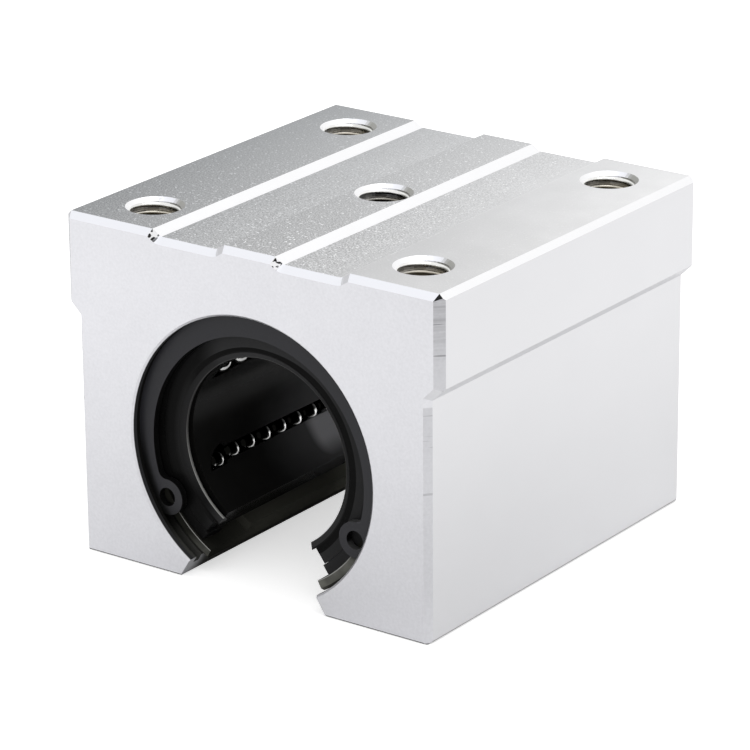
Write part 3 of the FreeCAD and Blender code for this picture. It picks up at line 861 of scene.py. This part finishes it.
def ear_rim_highlight(nodes, spot):
    """1 on the rounded rim of the right ear, on the side towards the top left, where a highlight is painted.
    """
    from_ear = nodes.add("ShaderNodeCombineXYZ", {"X": nodes.minus(spot["X"], EAR_CENTRE[0]),
                                                  "Z": nodes.minus(spot["Z"], EAR_CENTRE[1])}).outputs[0]
    rim = nodes.hump(nodes.vector("LENGTH", from_ear), *EAR_RIM, MM)
    up_left = nodes.vector("DOT_PRODUCT", from_ear, (-0.6, 0.0, 0.8))
    return nodes.times(rim, nodes.rise(up_left, 1.2, 2.4, MM))


def make_ring_finish(settings):
    """Dark phosphate over stamped spring steel: flat faces paler than the cut sides; painted light on the
    upward cut sides at the right and on the right ear's rim, painted shade low on the left and beside the
    bore's wall.
    """
    material, nodes, shader = new_material("phosphated_steel", IOR=1.5, Specular_IOR_Level=0.25)
    skin = place_group(nodes, fine_grain(), Size_mm=0.2, Sparkle=0.1)
    normal = nodes.split(nodes.facing())
    spot = place_group(nodes, block_place())
    across, height = spot["X"], spot["Z"]

    # painted light on the cut sides that face up, on the right
    upward = nodes.times(nodes.rise(normal["Z"], 0.2, 0.7), nodes.rise(across, 0, 10, MM))
    side = nodes.blend(upward, grey(0.003), grey(0.06))
    mottle = nodes.plus(nodes.times(skin["Patches"], 0.5), nodes.times(skin["Grain"], 0.15),
                        nodes.times(ear_rim_highlight(nodes, spot), 1.6))
    # painted shade low on the left
    painted_shade = nodes.times(nodes.rise(height, -10, -13.5, MM), nodes.rise(across, 0, -4, MM), 0.6)
    face = shaded(nodes, tuple(settings.ring), nodes.minus(mottle, painted_shade))
    # painted shadow on the face beside the bore's wall, at the lower left
    wall_shadow = nodes.times(nodes.rise(spot["Radius"], *RING_WALL_SHADOW, MM), nodes.rise(across, -8, -14, MM),
                              nodes.rise(height, 3, -6, MM))
    open_face = nodes.times(nodes.rise(nodes.unsigned(normal["Y"]), 0.5, 0.9), nodes.minus(1.0, wall_shadow))
    nodes.feed(shader.inputs["Base Color"], nodes.blend(open_face, side, face))
    nodes.feed(shader.inputs["Roughness"], nodes.plus(0.42, nodes.times(skin["Patches"], 0.3)))
    rough_surface(nodes, shader, skin["Grain"], 0.01 * MM, 0.3)
    return material


def make_sleeve_finish(settings):
    """Ground steel with fine lines running round it, with painted highlights at its edges and painted shade
    inside.
    """
    material, nodes, shader = new_material("ground_steel", IOR=1.5, Specular_IOR_Level=0.0)
    lines = place_group(nodes, tool_lines(), Stretch=(0.08, 1.0, 0.08), Spacing_mm=0.25)["Lines"]
    patches = place_group(nodes, fine_grain(), Size_mm=0.4)["Patches"]
    streaks = nodes.plus(nodes.times(patches, 1.2), nodes.times(lines, 1.5))
    ground = shaded(nodes, tuple(settings.sleeve), nodes.plus(streaks, 0.2))
    spot = place_group(nodes, block_place())
    along, height = spot["Y"], spot["Z"]
    endways = nodes.unsigned(nodes.split(nodes.facing())["Y"])
    end_face = nodes.times(nodes.rise(endways, 0.5, 0.9), nodes.rise(spot["Inward"], *SLEEVE_END, MM))

    # the painted shade grows paler further in, and gives way to the ground steel on the end faces beside the
    # slot
    deeper = nodes.plus(nodes.times(nodes.rise(along, -30, -16, MM), 3.3),
                        nodes.times(nodes.rise(along, -3, 9, MM), 9.0))
    shade_film = shaded(nodes, tuple(settings.sleeve_shade_film), nodes.times(deeper, nodes.minus(1.0, end_face)))
    right = nodes.times(nodes.rise(height, -12.2, -13.4, MM), nodes.rise(spot["X"], 0, 1, MM))
    left = nodes.times(nodes.rise(height, -15.5, -18.5, MM), 0.5)
    unshaded_end = nodes.times(end_face, nodes.maths("MAXIMUM", left, right))
    base = nodes.blend(unshaded_end, shade_film, ground)
    # painted highlight on the rim of the end face
    rim = nodes.times(end_face, nodes.rise(spot["Radius"], *SLEEVE_RIM, MM),
                      nodes.rise(height, -11, -15, MM), 0.75)
    nodes.feed(shader.inputs["Base Color"], nodes.blend(rim, base, opaque(settings.edge_highlight)))
    nodes.feed(shader.inputs["Roughness"], nodes.plus(0.30, nodes.times(lines, 0.25)))
    rough_surface(nodes, shader, lines, 0.005 * MM, 0.5)
    return material


class BEARING_OT_finish_bearing(Operator):
    """Give the sleeve, retainer, end rings, seals, retaining rings and screw their finishes"""
    bl_idname = "bearing_block.finish_bearing"
    bl_label = "Finish Bearing"

    def execute(self, context):
        settings = context.scene.bearing_pieces
        seal = make_closure_finish(settings, "seal_rubber")
        end_ring = make_closure_finish(settings, "end_ring_resin")
        ring = make_ring_finish(settings)
        finishes = {
            "outer_sleeve": make_sleeve_finish(settings),
            "ball_retainer": make_retainer_finish(settings),
            "end_ring_front": end_ring, "end_ring_rear": end_ring,
            "wiper_seal_front": seal, "wiper_seal_rear": seal,
            "retaining_ring_front": ring, "retaining_ring_rear": ring,
            "locating_screw": ring,
        }
        for name, material in finishes.items():
            set_material(frame["nodes"][name], material)
        return {"FINISHED"}


# ------------------------------------------------------------------ stage
def camera_place(settings):
    """The camera's matrix from its angles, distance and aim."""
    azimuth, elevation = settings.azimuth, settings.elevation
    backward = Vector((sin(azimuth) * cos(elevation), -cos(azimuth) * cos(elevation), sin(elevation)))
    turn = backward.to_track_quat("Z", "Y") @ Quaternion((0, 0, 1), settings.roll)
    place = Vector(settings.aim) + backward * settings.distance
    return Matrix.Translation(place) @ turn.to_matrix().to_4x4()


def seen_directly(nodes):
    """1 for rays that show the backdrop: straight, mirrored or through glass."""
    path = nodes.add("ShaderNodeLightPath").outputs
    seen = nodes.maths("MAXIMUM", path["Is Camera Ray"], path["Is Glossy Ray"])
    return nodes.maths("MAXIMUM", seen, path["Is Transmission Ray"])


def make_world(scene, settings):
    world = bpy.data.worlds.new("studio")
    world.use_nodes = True
    scene.world = world
    nodes = Tree(world.node_tree)
    background = world.node_tree.nodes["Background"]
    background.inputs["Color"].default_value = (1, 1, 1, 1)
    strength = nodes.plus(settings.ambient, nodes.times(seen_directly(nodes), 1.0 - settings.ambient))
    nodes.feed(background.inputs["Strength"], strength)


def make_floor(scene, settings):
    """A plane level with the feet, lifted to white where it is seen, so that it keeps only the shadow."""
    half = 3.0
    z = CAD_LOW[2]
    mesh = bpy.data.meshes.new("floor")
    mesh.from_pydata([(-half, -half, z), (half, -half, z), (half, half, z), (-half, half, z)],
                     [], [(0, 1, 2, 3)])
    floor = bpy.data.objects.new("floor", mesh)
    scene.collection.objects.link(floor)
    material, nodes, shader = new_material("pale_floor", Roughness=0.9, Specular_IOR_Level=0.0)
    patches = place_group(nodes, fine_grain(), Size_mm=2.0)["Patches"]
    nodes.feed(shader.inputs["Base Color"],
               shaded(nodes, tuple(settings.floor_colour), nodes.times(patches, 0.01)))
    lift = nodes.add("ShaderNodeEmission", {"Color": (1, 1, 1, 1)})
    seen = nodes.add("ShaderNodeLightPath").outputs["Is Camera Ray"]
    nodes.feed(lift.inputs["Strength"],
               nodes.plus(nodes.times(seen_directly(nodes), settings.mirrored_lift),
                          nodes.times(seen, settings.camera_lift)))
    both = nodes.add("ShaderNodeAddShader")
    nodes.feed(both.inputs[0], shader.outputs[0])
    nodes.feed(both.inputs[1], lift.outputs[0])
    nodes.feed(material.node_tree.nodes["Material Output"].inputs["Surface"], both.outputs[0])
    set_material(floor, material)


def hang_softbox(scene, settings):
    lamp = bpy.data.lights.new("softbox_overhead", "AREA")
    lamp.shape = "SQUARE"
    lamp.size = settings.softbox_size
    lamp.energy = settings.softbox_power
    thing = bpy.data.objects.new("softbox_overhead", lamp)
    scene.collection.objects.link(thing)
    place = Vector(settings.softbox_place)
    thing.matrix_world = Matrix.Translation(place) @ place.to_track_quat("Z", "Y").to_matrix().to_4x4()


class BEARING_OT_set_stage(Operator):
    """Set up the camera, the pale floor and the soft studio light"""
    bl_idname = "bearing_block.set_stage"
    bl_label = "Set Stage"

    def execute(self, context):
        scene = context.scene
        settings = scene.bearing_stage
        camera = bpy.data.cameras.new("camera")
        camera.lens = settings.lens
        camera.sensor_width = 36.0
        camera.clip_end = 20.0
        eye = bpy.data.objects.new("camera", camera)
        scene.collection.objects.link(eye)
        eye.matrix_world = camera_place(settings)
        scene.camera = eye
        make_world(scene, settings)
        make_floor(scene, settings)
        hang_softbox(scene, settings)
        scene.view_settings.view_transform = "Standard"
        return {"FINISHED"}


# ------------------------------------------------------------------ panel
STEPS = (BEARING_OT_set_stage, BEARING_OT_finish_housing, BEARING_OT_cut_threads,
         BEARING_OT_fit_balls, BEARING_OT_finish_bearing)
SETTINGS = {"bearing_stage": StageSettings, "bearing_housing": HousingSettings,
            "bearing_threads": ThreadSettings, "bearing_balls": BallSettings,
            "bearing_pieces": BearingSettings}


class BEARING_PT_sidebar(Panel):
    """Lists each step with its sizes and colours"""
    bl_label = "Linear Bearing Block"
    bl_idname = "BEARING_PT_sidebar"
    bl_space_type = "VIEW_3D"
    bl_region_type = "UI"
    bl_category = "Bearing"

    def draw(self, context):
        for step in STEPS:
            self.layout.operator(step.bl_idname)
        for name in SETTINGS:
            box = self.layout.box()
            settings = getattr(context.scene, name)
            for label in settings.bl_rna.properties.keys():
                if label not in ("name", "rna_type"):
                    box.prop(settings, label)


def register():
    for settings in SETTINGS.values():
        bpy.utils.register_class(settings)
    for name, settings in SETTINGS.items():
        setattr(bpy.types.Scene, name, PointerProperty(type=settings))
    for step in STEPS:
        bpy.utils.register_class(step)
    bpy.utils.register_class(BEARING_PT_sidebar)


def unregister():
    bpy.utils.unregister_class(BEARING_PT_sidebar)
    for step in reversed(STEPS):
        bpy.utils.unregister_class(step)
    for name, settings in SETTINGS.items():
        delattr(bpy.types.Scene, name)
        bpy.utils.unregister_class(settings)


def main():
    register()
    bpy.ops.bearing_block.set_stage()
    bpy.ops.bearing_block.finish_housing()
    bpy.ops.bearing_block.cut_threads()
    bpy.ops.bearing_block.fit_balls()
    bpy.ops.bearing_block.finish_bearing()


if __name__ == "__main__":
    main()
